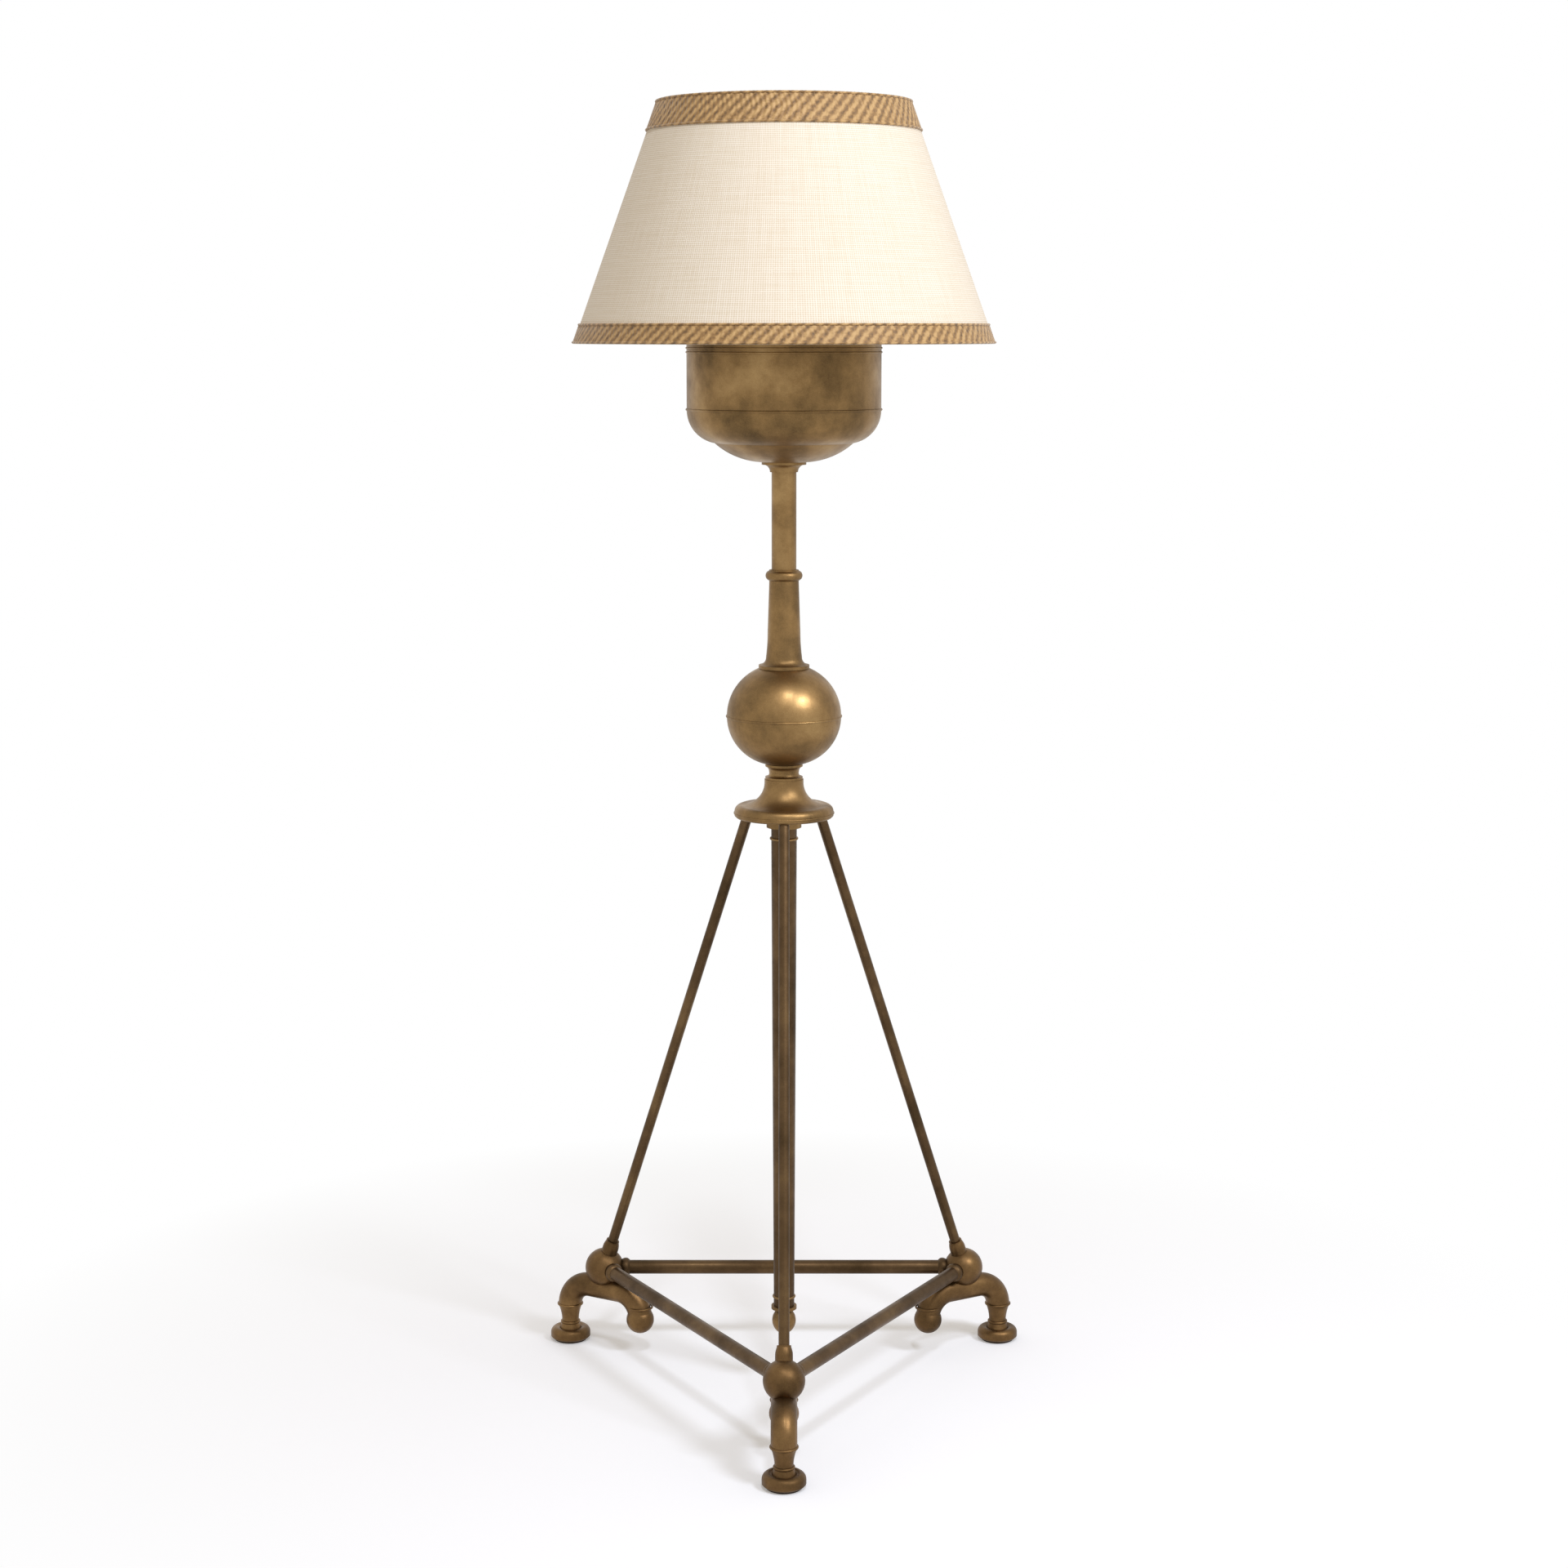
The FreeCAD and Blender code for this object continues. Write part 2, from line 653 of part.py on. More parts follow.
def make_hub():
    shoulder = "hubSleeveLength + hubLip"
    hub = turned(
        "hub",
        [
            ("columnTopRadius + fitGap", "0"),
            ("hubSleeveRadius", "0"),
            ("hubSleeveRadius", "hubSleeveLength"),
            ("hubRadius - hubEdge", "hubSleeveLength"),
            ("hubRadius", "hubSleeveLength + hubEdge"),
            ("hubRadius", shoulder, UPRIGHT_START),
            ("hubRadius - hubCrownStep * 2", f"{shoulder} + hubCrownStep * 2"),
            ("hubRadius - hubCrownStep * 3", f"{shoulder} + hubCrownStep * 2", UPRIGHT_END),
            ("hubNeckRadius", "hubLength - hubCrownStep"),
            ("hubNeckRadius", "hubLength"),
            ("pipeHole", "hubLength"),
            ("pipeHole", "hubSocketDepth"),
            ("columnTopRadius + fitGap", "hubSocketDepth"),
        ],
        z="hubHeight",
    )
    tools = []
    for compass in CORNERS.values():
        start = "strutLength - hubSocketDepth * 1.5"
        spot = corner_spot(f"cornerReach - ({start}) * sin(strutLean)", compass)
        tools.append(solid(
            "Cylinder", x=spot[0], y=spot[1], z=f"frameHeight + ({start}) * cos(strutLean)",
            yaw=str(compass), pitch="-strutLean",
            Radius="strutRadius + fitGap", Height="hubSocketDepth * 1.5 + fitGap",
        ))
        tools.append(solid(
            "Cylinder", z="hubHeight + hubSleeveLength / 2", yaw=str(compass), pitch="90",
            Radius="setScrewRadius", Height="hubSleeveRadius + overrun",
        ))
    keep(cut(hub, *tools), "strut_hub")
    screw = solid("Cylinder", y="-(columnTopRadius + fitGap)", z="hubHeight + hubSleeveLength / 2",
                  yaw="-90", pitch="90", Radius="setScrewRadius", Height="setScrewLength")
    curve = solid("Cylinder", z="hubHeight", Radius="columnTopRadius + fitGap", Height="hubLength")
    keep(copies(cut(screw, curve), len(CORNERS)), "hub_set_screws")


# --- candlestick ----------------------------------------------------------------------------

def make_candlestick():
    turned_piece(
        "neck_spool",
        [
            ("pipeHole", "0"),
            ("spoolRadius", "0"),
            ("spoolRadius", "spoolEdge", LEVEL_START),
            ("spoolWaist", "spoolLength / 2", UPRIGHT_START),
            ("spoolRadius", "spoolLength - spoolEdge"),
            ("spoolRadius", "spoolLength"),
            ("pipeHole", "spoolLength"),
        ],
        z="hubTop",
    )
    turned_piece(
        "ball_knop",
        [
            ("pipeHole", "0"),
            ("knopFootRadius", "0", UPRIGHT_END),
            ("knopRadius", "knopLength / 2", UPRIGHT_START),
            ("knopCrownRadius", "knopLength"),
            ("pipeHole", "knopLength"),
            ("pipeHole", "knopLength - knopWall * 1.5"),
            ("knopCrownRadius - knopWall", "knopLength - knopWall * 1.5", UPRIGHT_END),
            ("knopRadius - knopWall", "knopLength / 2", UPRIGHT_START),
            ("knopFootRadius - knopWall", "knopWall * 1.5"),
            ("pipeHole", "knopWall * 1.5"),
        ],
        z="knopFoot",
    )
    turned_piece(
        "trumpet_neck",
        [
            ("pipeHole", "0"),
            ("trumpetFootRadius", "0"),
            ("trumpetFootRadius", "trumpetFootEdge", LEVEL_START),
            ("trumpetNeckRadius + trumpetCoveStep", "trumpetFootEdge + trumpetCove", UPRIGHT_END),
            ("trumpetNeckRadius", "trumpetFlare"),
            ("trumpetTopRadius", "trumpetLength - beadLength - beadEdge - beadCove"),
            ("trumpetTopRadius", "trumpetLength - beadLength - beadEdge", UPRIGHT_END),
            ("beadRadius", "trumpetLength - beadLength / 2 - beadEdge", UPRIGHT_START),
            ("trumpetTopRadius", "trumpetLength - beadEdge"),
            ("trumpetTopRadius", "trumpetLength"),
            ("stemRadius - stemWall - fitGap", "trumpetLength"),
            ("stemRadius - stemWall - fitGap", "trumpetLength + dropSpigot"),
            ("pipeHole", "trumpetLength + dropSpigot"),
        ],
        z="knopTop",
    )
    turned_piece(
        "upper_stem",
        [
            ("stemRadius - stemWall", "stemFoot"),
            ("stemRadius", "stemFoot"),
            ("stemRadius", "stemTop"),
            ("stemRadius - stemWall", "stemTop"),
        ],
    )
    turned_piece(
        "bowl_cup",
        [
            ("pipeHole", "-dropSpigot"),
            ("stemRadius - stemWall - fitGap", "-dropSpigot"),
            ("stemRadius - stemWall - fitGap", "0"),
            ("cupFootRadius", "0", UPRIGHT_START),
            ("cupRimRadius", "cupLength - cupRimHeight"),
            ("cupRimRadius", "cupLength"),
            ("pipeHole", "cupLength"),
        ],
        z="stemTop",
    )


# --- font bowl ------------------------------------------------------------------------------

def make_bowl():
    inside = "bowlRadius - bowlWall"
    turned_piece(
        "font_bowl",
        [
            ("pipeHole", "0"),
            ("bowlFootRadius", "0", LEVEL_START),
            ("bowlShoulderRadius", "bowlShoulderHeight", UPRIGHT_END),
            ("bowlRadius", "bowlTurnHeight"),
            ("bowlRadius", "bowlHeight - bowlRimHeight", LEVEL_START),
            ("bowlRimRadius", "bowlHeight - bowlRimHeight / 2", UPRIGHT_START),
            ("bowlRadius", "bowlHeight"),
            (inside, "bowlHeight"),
            (inside, "bowlTurnHeight", UPRIGHT_START),
            ("bowlShoulderRadius - bowlWall / 2", "bowlShoulderHeight + bowlWall", LEVEL_END),
            ("bowlFootRadius", "bowlWall"),
            ("pipeHole", "bowlWall"),
        ],
        z="bowlFoot",
    )
    plug = "bowlRadius - bowlWall - fitGap"
    turned_piece(
        "font_lid",
        [
            ("pipeHole", "lidRise - lidWall"),
            ("lidCrownRadius", "lidRise - lidWall", LEVEL_START),
            (f"{plug} - lidWall", "-lidWall"),
            (f"{plug} - lidWall", "-lidSpigot"),
            (plug, "-lidSpigot"),
            (plug, "0"),
            ("bowlRadius", "0"),
            ("bowlRadius", "lidWall"),
            (plug, "lidWall", LEVEL_END),
            ("lidCrownRadius", "lidRise"),
            ("pipeHole", "lidRise"),
        ],
        z="bowlTop",
    )
    turned_piece(
        "lid_collar",
        [
            ("pipeHole", "0"),
            ("collarRadius", "0"),
            ("collarRadius", "collarEdge", LEVEL_START),
            ("collarRadius - collarSlope", "collarLength - collarEdge"),
            ("collarRadius - collarSlope", "collarLength"),
            ("pipeHole", "collarLength"),
        ],
        z="lidTop",
    )


# --- saddle and lampholder ------------------------------------------------------------------

def hex_nut(label, radius, thickness, height):
    nut = doc.addObject("Part::Prism", "Prism")
    nut.Polygon = 6
    nut.setExpression("Circumradius", bound(radius))
    nut.setExpression("Height", bound(thickness))
    place(nut, z=height)
    hole = solid("Cylinder", z=f"{height} - overrun", Radius="pipeHole",
                 Height=f"{thickness} + 2 * overrun")
    keep(cut(nut, hole), label)


def make_saddle():
    strip = solid("Box", x="-saddleHalfLength", y="-saddleWidth / 2", z="saddleFoot",
                  Length="2 * saddleHalfLength", Width="saddleWidth", Height="saddleThickness")
    posts = [
        solid("Cylinder", x=f"{side} * harpLegReach", z="saddleFoot + saddleThickness / 2",
              Radius="saddlePostRadius", Height="saddlePostLength")
        for side in (-1, 1)
    ]
    hole = solid("Cylinder", z="saddleFoot - overrun", Radius="pipeHole",
                 Height="saddleThickness + 2 * overrun")
    bores = [
        solid("Cylinder", x=f"{side} * harpLegReach", z="harpFoot - fitGap",
              Radius="harpWireRadius + fitGap", Height="saddlePostLength")
        for side in (-1, 1)
    ]
    keep(cut(fuse(strip, *posts), hole, *bores), "harp_saddle")
    hex_nut("saddle_nut", "saddleNutRadius", "saddleNutThickness", "nutFoot")


def make_holder():
    turned_piece(
        "holder_cap",
        [
            ("pipeHole", "0"),
            ("holderRadius * 0.6", "0", UPRIGHT_END),
            ("holderRadius", "holderCapLength * 0.55"),
            ("holderRadius", "holderCapLength"),
            ("holderRadius - holderWall", "holderCapLength"),
            ("holderRadius - holderWall", "holderCapLength * 0.55", UPRIGHT_START),
            ("holderRadius * 0.6", "holderWall"),
            ("pipeHole", "holderWall"),
        ],
        z="holderFoot",
    )
    inner = "holderRadius - holderWall - fitGap"
    shell = turned(
        "shell",
        [
            (f"{inner} - holderWall", "-holderWall * 4"),
            (inner, "-holderWall * 4"),
            (inner, "0"),
            ("holderRadius", "0"),
            ("holderRadius", "holderBead"),
            (inner, "holderBead + holderBeadEdge"),
            (inner, "holderShellLength"),
            (f"{inner} - holderWall", "holderShellLength"),
        ],
        z="holderSeam",
    )
    liner_outside = f"{inner} - holderWall - fitGap"
    liner = turned(
        "liner",
        [
            (f"{liner_outside} - linerWall", "0"),
            (liner_outside, "0"),
            (liner_outside, "holderShellLength + overrun"),
            (f"{liner_outside} - linerWall", "holderShellLength + overrun"),
        ],
        z="holderSeam",
    )
    core = turned(
        "core",
        [
            ("0", "0"),
            (f"{liner_outside} - linerWall - fitGap", "0"),
            (f"{liner_outside} - linerWall - fitGap", "holderCoreLength"),
            ("0", "holderCoreLength"),
        ],
        z="holderSeam",
    )
    for piece, label in ((shell, "holder_shell"), (liner, "holder_liner"), (core, "holder_core")):
        way = solid("Cylinder", y="-keyInside + fitGap", z="keyHeight", yaw="-90", pitch="90",
                    Radius="keyStemRadius + fitGap", Height="holderRadius")
        keep(cut(piece, way), label)
    shell_outside = f"{liner_outside} - linerWall - fitGap"
    turned_piece(
        "screw_shell",
        [
            ("bulbBaseRadius + fitGap", "0"),
            (shell_outside, "0"),
            (shell_outside, "screwShellFlange"),
            ("screwShellRadius", "screwShellFlange + screwShellStep"),
            ("screwShellRadius", "screwShellLength"),
            ("bulbBaseRadius + fitGap", "screwShellLength"),
        ],
        z="coreTop",
    )
    keep(solid("Cylinder", z="coreTop", Radius="contactRadius", Height="contactThickness"),
         "centre_contact")


def make_key():
    """Turn key of the lampholder's switch, on an axis that points to the front."""
    turned_piece(
        "switch_key",
        [
            ("0", "keyInside + fitGap * 2"),
            ("keyStemRadius", "keyInside + fitGap * 2"),
            ("keyStemRadius", "keyReach - keyKnobLength"),
            ("keyKnobRadius - keyEdge", "keyReach - keyKnobLength"),
            ("keyKnobRadius", "keyReach - keyKnobLength + keyEdge"),
            ("keyKnobRadius", "keyReach - keyRound"),
            ("keyKnobRadius - keyRound", "keyReach"),
            ("0", "keyReach"),
        ],
        z="keyHeight", roll="90",
    )


def make_bulb():
    turned_piece(
        "bulb_base",
        [
            ("0", "0"),
            ("contactRadius", "0"),
            ("bulbBaseRadius - bulbCapTaper * 0.7", "bulbCapTaper"),
            ("bulbBaseRadius", "bulbCapTaper + bulbCapEdge"),
            ("bulbBaseRadius", "bulbBaseLength"),
            ("0", "bulbBaseLength"),
        ],
        z="bulbFoot",
    )
    crown = "bulbGlassLength - bulbRadius"
    inside = "bulbRadius - bulbGlassWall"
    turned_piece(
        "bulb_glass",
        [
            ("0", "0"),
            ("bulbNeckRadius - bulbCapEdge", "0"),
            ("bulbNeckRadius", "bulbNeckLength", UPRIGHT_START),
            ("(bulbNeckRadius + bulbRadius) / 2", f"(bulbNeckLength + {crown}) / 2", UPRIGHT_END),
            ("bulbRadius", crown, UPRIGHT_START),
            ("0", "bulbGlassLength"),
            ("0", "bulbGlassLength - bulbGlassWall", LEVEL_START),
            (inside, crown, UPRIGHT_START),
            ("(bulbNeckRadius + bulbRadius) / 2 - bulbGlassWall", f"(bulbNeckLength + {crown}) / 2", UPRIGHT_END),
            ("bulbNeckRadius - bulbGlassWall", "bulbNeckLength"),
            ("bulbNeckRadius - bulbGlassWall", "bulbNeckLength / 3"),
            ("0", "bulbNeckLength / 3"),
        ],
        z="glassFoot",
    )


# --- harp and finial ------------------------------------------------------------------------

HARP_SPREAD = math.tan(math.radians(15))     # the shoulder leaves upright by 30 degrees ...
HARP_CLOSE = math.tan(math.radians(30))      # ... and turns the other 60 degrees to level


def make_harp():
    span = "harpHalfWidth - harpFlatReach"
    rise = "harpLength - harpWaistHeight"
    side_rise = f"(({rise}) - {HARP_CLOSE} * ({span})) / (1 - {HARP_SPREAD * HARP_CLOSE})"
    right = [
        ("harpLegReach", "0"),
        ("harpLegReach", "harpLegLength", UPRIGHT_START),
        ("(harpLegReach + harpHalfWidth) / 2", "(harpLegLength + harpWaistHeight) / 2", UPRIGHT_END),
        ("harpHalfWidth", "harpWaistHeight", UPRIGHT_START),
        (f"harpHalfWidth - {HARP_SPREAD} * ({side_rise})", f"harpWaistHeight + {side_rise}",
         LEVEL_END),
        ("harpFlatReach", "harpLength"),
    ]
    mirrored_bends = [LEVEL_START, UPRIGHT_END, UPRIGHT_START, UPRIGHT_END, None, None]
    left = []
    for (x, y, *_), bend in zip(reversed(right), mirrored_bends):
        left.append((f"-({x})", y, bend))
    wire = bent_bar("harp", right + left, "harpWireRadius", z="harpFoot")
    keep(wire, "harp_wire")
    for side, label in ((-1, "harp_ferrule_left"), (1, "harp_ferrule_right")):
        outer = solid("Cylinder", x=f"{side} * harpLegReach", z="nutFoot",
                      Radius="harpFerruleRadius", Height="harpFerruleLength")
        post = solid("Cylinder", x=f"{side} * harpLegReach", z="nutFoot - overrun",
                     Radius="saddlePostRadius + fitGap",
                     Height="saddlePostLength - saddleThickness / 2 + overrun + fitGap")
        wire_way = solid("Cylinder", x=f"{side} * harpLegReach", z="nutFoot - overrun",
                         Radius="harpWireRadius + fitGap",
                         Height="harpFerruleLength + 2 * overrun")
        keep(cut(outer, post, wire_way), label)
    turned_piece(
        "harp_stud",
        [
            ("0", "harpWireRadius"),
            ("studPlateRadius", "harpWireRadius"),
            ("studPlateRadius", "harpWireRadius + studPlateThickness"),
            ("studRadius", "harpWireRadius + studPlateThickness"),
            ("studRadius", "harpWireRadius + studPlateThickness + studLength"),
            ("0", "harpWireRadius + studPlateThickness + studLength"),
        ],
        z="harpTop",
    )


def make_finial():
    neck = "finialLength - 2 * finialBallRadius"
    turned_piece(
        "finial",
        [
            ("studRadius + washerFit", "0"),
            ("finialFootRadius", "0"),
            ("finialFootRadius", "finialSkirt"),
            ("finialNeckRadius", neck),
            ("finialNeckRadius", f"{neck} + finialNeckEdge", UPRIGHT_END),
            ("finialBallRadius", "finialLength - finialBallRadius", UPRIGHT_START),
            ("0", "finialLength"),
            ("0", "studLength"),
            ("studRadius + washerFit", "studLength"),
        ],
        z="finialFoot",
    )


# --- shade ----------------------------------------------------------------------------------

def cone_radius(height, outward="0"):
    """Radius of the shade's outer face at a height above its bottom edge."""
    return f"shadeBottomRadius - ({height}) * shadeSlope + ({outward})"


def make_shade():
    turned_piece(
        "shade_cone",
        [
            ("shadeBottomRadius - shadeSkin", "0"),
            ("shadeBottomRadius", "0"),
            ("shadeTopRadius", "shadeHeight"),
            ("shadeTopRadius - shadeSkin", "shadeHeight"),
        ],
        z="shadeFoot",
    )
    for label, low, high in (
        ("bottom_trim", "0", "bottomTrimHeight"),
        ("top_trim", "shadeHeight - topTrimHeight", "shadeHeight"),
    ):
        turned_piece(
            label,
            [
                (cone_radius(low, "fitGap"), low),
                (cone_radius(low, "trimThickness + fitGap"), low),
                (cone_radius(high, "trimThickness + fitGap"), high),
                (cone_radius(high, "fitGap"), high),
            ],
            z="shadeFoot",
        )
    for label, radius, height in (
        ("bottom_ring", "bottomRingRadius", "shadeFoot + ringEdge"),
        ("top_ring", "topRingRadius", "shadeTop - ringEdge"),
    ):
        ring = solid("Torus", z=height, Radius1=radius, Radius2="ringWireRadius")
        keep(ring, label)
    washer = solid("Cylinder", z="washerFoot", Radius="washerRadius", Height="washerThickness")
    arms = [
        solid("Cylinder", x=f"washerRadius / 2 * cos({compass})", y=f"washerRadius / 2 * sin({compass})",
              z="washerFoot + washerThickness / 2", yaw=str(compass),
              pitch="atan(spiderRun / spiderRise)",
              Radius="spiderWireRadius", Height="sqrt(spiderRun^2 + spiderRise^2)")
        for compass in CORNERS.values()
    ]
    floor = solid("Cylinder", z="washerFoot - spiderWireRadius * 3", Radius="washerRadius + overrun",
                  Height="spiderWireRadius * 3")
    hole = solid("Cylinder", z="washerFoot - spiderWireRadius * 4",
                 Radius="studRadius + washerFit", Height="spiderWireRadius * 8")
    seat = solid("Cylinder", z="washerFoot + washerThickness",
                 Radius="finialFootRadius + finialRoom", Height="spiderWireRadius * 4")
    keep(cut(fuse(washer, *arms), floor, hole, seat), "shade_spider")


for side_name, side_compass in CORNERS.items():
    make_foot(side_name, side_compass)
    make_strut(side_name, side_compass)
for side_name, side_compass in BARS.items():
    make_tie_bar(side_name, side_compass)
make_glide_screws()
make_column()
make_hub()
make_candlestick()
make_bowl()
make_saddle()
make_holder()
make_key()
make_bulb()
make_harp()
make_finial()
make_shade()
doc.recompute()

faults = [f"{o.Label}: {o.getStatusString()}" for o in doc.Objects if {"Invalid", "Error"} & set(o.State)]
for piece in subParts:
    if piece.Shape.isNull() or not piece.Shape.isValid() or piece.Shape.Volume <= 0:
        faults.append(f"{piece.Label}: its shape is missing or not valid")
if faults:
    raise SystemExit("not built: " + "; ".join(faults))

os.makedirs("parts", exist_ok=True)
for piece in subParts:
    piece.Shape.exportStep(f"parts/{piece.Label}.step")
    box = piece.Shape.BoundBox
    print(f"{piece.Label}: {len(piece.Shape.Solids)} solid, {piece.Shape.Volume / 1000:.1f} cm3, "
          f"z {box.ZMin:.1f} to {box.ZMax:.1f}")
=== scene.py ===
import json
import math

import bmesh
import bpy
from mathutils import Matrix, Vector


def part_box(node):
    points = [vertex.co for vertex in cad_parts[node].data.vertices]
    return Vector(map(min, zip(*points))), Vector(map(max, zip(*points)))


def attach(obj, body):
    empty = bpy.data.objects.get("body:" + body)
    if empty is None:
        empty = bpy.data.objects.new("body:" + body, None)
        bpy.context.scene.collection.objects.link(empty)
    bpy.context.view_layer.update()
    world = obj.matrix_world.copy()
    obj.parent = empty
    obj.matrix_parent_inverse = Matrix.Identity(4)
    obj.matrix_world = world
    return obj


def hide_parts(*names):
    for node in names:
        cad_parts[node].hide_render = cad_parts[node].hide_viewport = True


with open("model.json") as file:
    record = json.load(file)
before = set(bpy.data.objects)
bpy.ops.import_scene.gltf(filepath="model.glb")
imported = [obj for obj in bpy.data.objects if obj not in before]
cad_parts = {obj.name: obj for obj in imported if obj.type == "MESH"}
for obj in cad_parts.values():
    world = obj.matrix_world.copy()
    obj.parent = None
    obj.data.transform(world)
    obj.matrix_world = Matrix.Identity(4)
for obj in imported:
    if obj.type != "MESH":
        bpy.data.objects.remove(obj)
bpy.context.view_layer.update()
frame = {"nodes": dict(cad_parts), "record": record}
nodes = frame["nodes"]
mm = 0.001
fullTurn = 2 * math.pi
scene = bpy.context.scene


# camera, lamps, world and floor

view = {
    "place": (0.0, -3.434, 1.321),   # metres; eye level just above the shade's bottom rim
    "tilt": 80.91,                   # degrees from straight down
    "lens": 65.0,                    # mm
    "film": 36.0,
}

camera = bpy.data.objects.new("camera", bpy.data.cameras.new("camera"))
camera.location = view["place"]
camera.rotation_euler = (math.radians(view["tilt"]), 0.0, 0.0)
camera.data.lens = view["lens"]
camera.data.sensor_width = view["film"]
scene.collection.objects.link(camera)
scene.camera = camera
scene.view_settings.view_transform = "Standard"


def toLinear(hexColour):
    # sRGB hex to linear red, green, blue and alpha
    parts = [int(hexColour[i:i + 2], 16) / 255 for i in (1, 3, 5)]
    line = [p / 12.92 if p <= 0.04045 else ((p + 0.055) / 1.055) ** 2.4 for p in parts]
    return (*line, 1.0)


def feed(tree, node, links):
    # joins other nodes' outputs to this node's sockets
    for key, output in links.items():
        tree.links.new(output, node.inputs[key])


def addNode(tree, kind, settings=None, links=None, stops=()):
    # settings go to the node's own values or its sockets, links come from other outputs,
    # and stops are a ramp's places and hex colours, lowest first
    node = tree.nodes.new(kind)
    for key, value in (settings or {}).items():
        if isinstance(key, str) and hasattr(node, key):
            setattr(node, key, value)
        else:
            node.inputs[key].default_value = value
    feed(tree, node, links or {})
    if stops:
        marks = node.color_ramp.elements
        marks.remove(marks[1])
        marks[0].position = stops[0][0]
        for spot, colour in stops[1:]:
            marks.new(spot)
        for mark, (spot, colour) in zip(marks, stops):
            mark.color = toLinear(colour)
    return node


lighting = {
    "ambient": 0.5,         # soft light from all round, a little warm
    "ambientColour": "#fff0dc",
    "lampColour": "#f3f6ff",
    "lampTarget": (0.0, 0.0, 0.8),   # metres, the middle of the floor lamp
    "keyPower": 66.0,       # soft studio lamp, high on the right and in front
    "keyPlace": (2.3, -2.0, 3.1),
    "keySize": 0.9,
    "topPower": 30.0,       # smaller one higher up, in front, for the shadows at the feet
    "topPlace": (0.3, -2.0, 3.5),
    "topSize": 0.35,
    "floorColour": "#f0f5fe",
    "floorReach": 14.0,     # metres
    "floorSides": 96,
    "floorLift": 0.24,      # what the pale floor glows for the camera, so that it stays white
    "shadowInner": 0.45,    # metres from the lamp where the floor starts to turn white
    "shadowOuter": 1.15,    # metres from it where the floor is all white
}
white = (1.0, 1.0, 1.0, 1.0)

for lampName in ("key", "top"):
    lampData = bpy.data.lights.new(lampName + "Lamp", "AREA")
    lampData.energy = lighting[lampName + "Power"]
    lampData.size = lighting[lampName + "Size"]
    lampData.color = toLinear(lighting["lampColour"])[:3]
    studioLamp = bpy.data.objects.new(lampName + "Lamp", lampData)
    studioLamp.location = lighting[lampName + "Place"]
    sight = Vector(lighting["lampTarget"]) - studioLamp.location
    studioLamp.rotation_euler = sight.to_track_quat("-Z", "Y").to_euler()
    scene.collection.objects.link(studioLamp)

world = bpy.data.worlds.new("studio")
scene.world = world
world.use_nodes = True
sky = world.node_tree
sky.nodes.clear()


def seenDirectly(tree):
    # 1 for rays from the camera, a mirror or clear glass
    path = addNode(tree, "ShaderNodeLightPath")
    first = addNode(tree, "ShaderNodeMath", {"operation": "MAXIMUM"},
                    {0: path.outputs["Is Camera Ray"], 1: path.outputs["Is Glossy Ray"]})
    return addNode(tree, "ShaderNodeMath", {"operation": "MAXIMUM"},
                   {0: first.outputs[0], 1: path.outputs["Is Transmission Ray"]}).outputs[0]


ambient = addNode(sky, "ShaderNodeBackground",
                  {"Color": toLinear(lighting["ambientColour"]),
                   "Strength": lighting["ambient"]})
backdrop = addNode(sky, "ShaderNodeBackground", {"Color": white, "Strength": 1.0})
blend = addNode(sky, "ShaderNodeMixShader", None, {
    0: seenDirectly(sky), 1: ambient.outputs[0], 2: backdrop.outputs[0]})
addNode(sky, "ShaderNodeOutputWorld", None, {"Surface": blend.outputs[0]})

floorMesh = bmesh.new()
bmesh.ops.create_circle(floorMesh, cap_ends=True, segments=lighting["floorSides"],
                        radius=lighting["floorReach"])
floorData = bpy.data.meshes.new("floor")
floorMesh.to_mesh(floorData)
floorMesh.free()
floor = bpy.data.objects.new("floor", floorData)
scene.collection.objects.link(floor)

floorPaint = bpy.data.materials.new("paleStudioFloor")   # matt, keeps the soft shadow
floorPaint.use_nodes = True
tree = floorPaint.node_tree
tree.nodes.clear()
spot = addNode(tree, "ShaderNodeTexCoord")
seen = seenDirectly(tree)
distance = addNode(tree, "ShaderNodeVectorMath", {"operation": "LENGTH"},
                   {0: spot.outputs["Object"]})
fade = addNode(tree, "ShaderNodeMapRange", {
    "From Min": lighting["shadowInner"], "From Max": lighting["shadowOuter"]},
    {"Value": distance.outputs["Value"]})
farOff = addNode(tree, "ShaderNodeMath", {"operation": "MULTIPLY"},
                 {0: fade.outputs[0], 1: seen})
matt = addNode(tree, "ShaderNodeBsdfDiffuse", {"Color": toLinear(lighting["floorColour"])})
glow = addNode(tree, "ShaderNodeEmission", {"Color": white, "Strength": 1.0})
lift = addNode(tree, "ShaderNodeMath", {"operation": "MULTIPLY", 1: lighting["floorLift"]},
               {0: seen})
faint = addNode(tree, "ShaderNodeEmission", {"Color": white}, {"Strength": lift.outputs[0]})
near = addNode(tree, "ShaderNodeAddShader", None, {0: matt.outputs[0], 1: faint.outputs[0]})
mixed = addNode(tree, "ShaderNodeMixShader", None, {
    0: farOff.outputs[0], 1: near.outputs[0], 2: glow.outputs[0]})
addNode(tree, "ShaderNodeOutputMaterial", None, {"Surface": mixed.outputs[0]})
floorData.materials.append(floorPaint)
print("stage ready")


# finishes; the sizes of patterns are in mm and a noise of scale 1 has one grain a metre

def newFinish(name, **settings):
    material = bpy.data.materials.new(name)
    material.use_nodes = True
    tree = material.node_tree
    shader = tree.nodes["Principled BSDF"]
    for key, value in settings.items():
        shader.inputs[key.replace("_", " ")].default_value = value
    place = addNode(tree, "ShaderNodeTexCoord")
    return material, tree, shader, place


